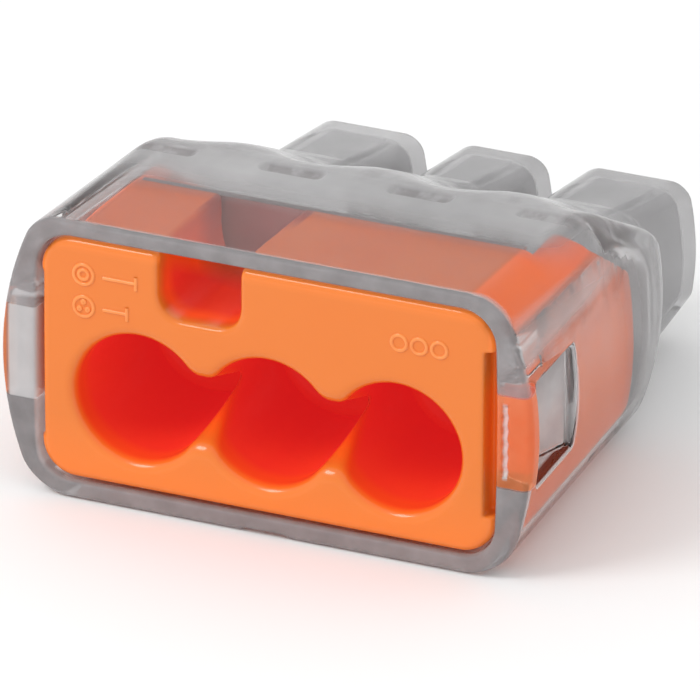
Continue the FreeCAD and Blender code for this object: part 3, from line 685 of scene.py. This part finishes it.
def orange_plastic():
    """Orange polycarbonate, with painted glow where light passes through its thin edges and painted red glow
    in its deep hollows.
    """
    shader = Shader("orange_polycarbonate", Roughness=0.3, IOR=1.5, Specular_IOR_Level=0.1,
                    Coat_Roughness=0.14, Emission_Strength=1.0)
    at = shader.spot()
    reach = port_reach(shader, at)
    red = deep_hollows(shader, at, reach)
    shader.feed("Base Color", insert_colour(shader, at, red))
    shader.feed("Coat Weight", shader.range(at.depth, 0.9, 0.6, 0.0, 0.8))
    shader.feed("Emission Color", insert_glow(shader, at, red, reach))
    shader.bump(shader.noise(2500.0, 2.0), 0.08, 0.00005)
    return shader.material


# ---------------------------------------------------------------- marks, metal, and dressing the pieces

def mark_plastic():
    """The raised marks: the same plastic, painted lighter for the light that passes through the thin strokes.
    """
    shader = Shader("orange_marks", Roughness=0.25, IOR=1.5)
    colour = shader.ramp(shader.noise(1500.0), (0.3, rgb(240, 138, 66)), (0.7, rgb(246, 150, 78)))
    shader.feed("Base Color", colour)
    return shader.material


def metal(name, colour, roughness, grain):
    """Rolled metal: fine streaks along the rolling direction in its gloss and relief."""
    shader = Shader(name, Metallic=1.0)
    streaks = shader.noise(800.0, 4.0, grain)
    dark = tuple(0.85 * part for part in colour)
    shader.feed("Base Color", shader.ramp(streaks, (0.35, dark), (0.65, colour)))
    shader.feed("Roughness", shader.range(streaks, 0.3, 0.7, roughness - 0.06, roughness + 0.06))
    shader.bump(streaks, 0.15, 0.00002)
    return shader.material


def dress(node, material):
    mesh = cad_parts[node].data
    mesh.materials.clear()
    mesh.materials.append(material)


def stand_for(piece, node, material):
    """The piece takes a CAD node's place on the casing."""
    piece.data.materials.append(material)
    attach(piece, "casing")
    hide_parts(node)


insert = moulded("insert", insert_shape, low=(-8.6, -0.2, 0.4), high=(8.6, 11.0, 9.1), cell=0.09, keep=0.35)
stand_for(insert, "port_insert", orange_plastic())
marks = face_marks()
marks.data.materials.append(mark_plastic())
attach(marks, "casing")
shell = moulded("shell", shell_shape, low=(-9.1, -0.3, -0.3), high=(9.1, 19.1, 9.7), cell=0.11, keep=0.35)
stand_for(shell, "housing_shell", clear_plastic())
dress("bus_bar", metal("tinned_copper", (0.75, 0.73, 0.70), roughness=0.3, grain=(0.1, 1, 1)))
steel = metal("spring_steel", (0.46, 0.37, 0.36), roughness=0.45, grain=(1, 0.1, 0.1))
for name in ("spring_strip", "spring_finger_left", "spring_finger_middle", "spring_finger_right"):
    dress(name, steel)


# ---------------------------------------------------------------- stage, light, camera

def stage():
    """A plain white floor under the object."""
    mesh = bpy.data.meshes.new("floor")
    reach = 2.0
    mesh.from_pydata([(-reach, -reach, 0), (reach, -reach, 0), (reach, reach, 0), (-reach, reach, 0)], [],
                     [(0, 1, 2, 3)])
    floor = bpy.data.objects.new("floor", mesh)
    floor.location.z = cad_box[0][2]
    bpy.context.scene.collection.objects.link(floor)
    mesh.materials.append(Shader("floor_white", Base_Color=(0.95, 0.95, 0.95, 1), Roughness=0.9).material)


def area_light(name, place, aim, size, power):
    data = bpy.data.lights.new(name, "AREA")
    data.shape = "RECTANGLE"
    data.size, data.size_y = size
    data.energy = power
    lamp = bpy.data.objects.new(name, data)
    lamp.location = place
    lamp.rotation_euler = (Vector(aim) - Vector(place)).to_track_quat("-Z", "Y").to_euler()
    bpy.context.scene.collection.objects.link(lamp)


def lights():
    """An even white surround, and one soft light from the front left."""
    world = bpy.data.worlds.new("studio")
    bpy.context.scene.world = world
    world.use_nodes = True
    world.node_tree.nodes["Background"].inputs["Color"].default_value = (1, 1, 1, 1)
    world.node_tree.nodes["Background"].inputs["Strength"].default_value = 0.9
    area_light("key", place=(-0.10, -0.12, 0.16), aim=(0, 0, 0.005), size=(0.08, 0.08), power=0.16)


AZIMUTH, ELEVATION, ROLL = math.radians(23.5), math.radians(24.8), math.radians(0.25)
TARGET = Vector((2.01, -7.46, 5.83)) * MM
DISTANCE = 350 * MM
FIELD = 21.28 * MM                  # width of the view at the target


def camera():
    data = bpy.data.cameras.new("camera")
    data.sensor_width = 36
    data.angle = 2 * math.atan(FIELD / 2 / DISTANCE)
    data.clip_start, data.clip_end = 0.01, 10
    cam = bpy.data.objects.new("camera", data)
    away = Vector((math.sin(AZIMUTH) * math.cos(ELEVATION), -math.cos(AZIMUTH) * math.cos(ELEVATION),
                   math.sin(ELEVATION)))
    turn = (-away).to_track_quat("-Z", "Y").to_matrix().to_4x4() @ Matrix.Rotation(ROLL, 4, "Z")
    cam.matrix_world = Matrix.Translation(TARGET + away * DISTANCE) @ turn
    bpy.context.scene.collection.objects.link(cam)
    bpy.context.scene.camera = cam


stage()
lights()
camera()
bpy.context.scene.view_settings.view_transform = "Standard"
